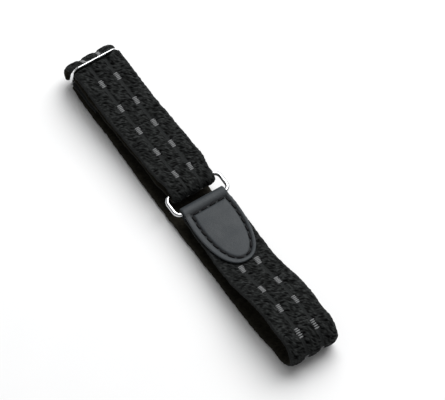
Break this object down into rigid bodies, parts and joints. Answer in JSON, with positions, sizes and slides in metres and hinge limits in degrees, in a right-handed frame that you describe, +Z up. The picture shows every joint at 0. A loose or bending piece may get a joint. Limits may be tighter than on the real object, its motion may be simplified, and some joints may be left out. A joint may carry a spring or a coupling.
{
  "type": "adjustable elastic shirt sleeve holder",
  "caption": "Loop of black ribbed elastic with a wire slider, a wire ring and a stitched dark leather tab, worn round the upper arm to hold a shirt sleeve up.",
  "frame": {"origin": "on the surface, under the middle of the loop's length and width", "axes": "+X along the loop from the slider to the right fold, +Y across the band, +Z up"},
  "size_m": [0.1494, 0.024, 0.0154],
  "materials": {
    "elastic": "woven ribbed elastic, matte with fine glints, pale grey dashes in its grooves",
    "leather": "smooth fine-grained dark grey leather with black stitching",
    "chrome": "polished plated wire"
  },
  "bodies": {
    "root": {"elastic_band": "elastic", "leather_tab": "leather", "slider": "chrome", "ring": "chrome"}
  },
  "joints": []
}
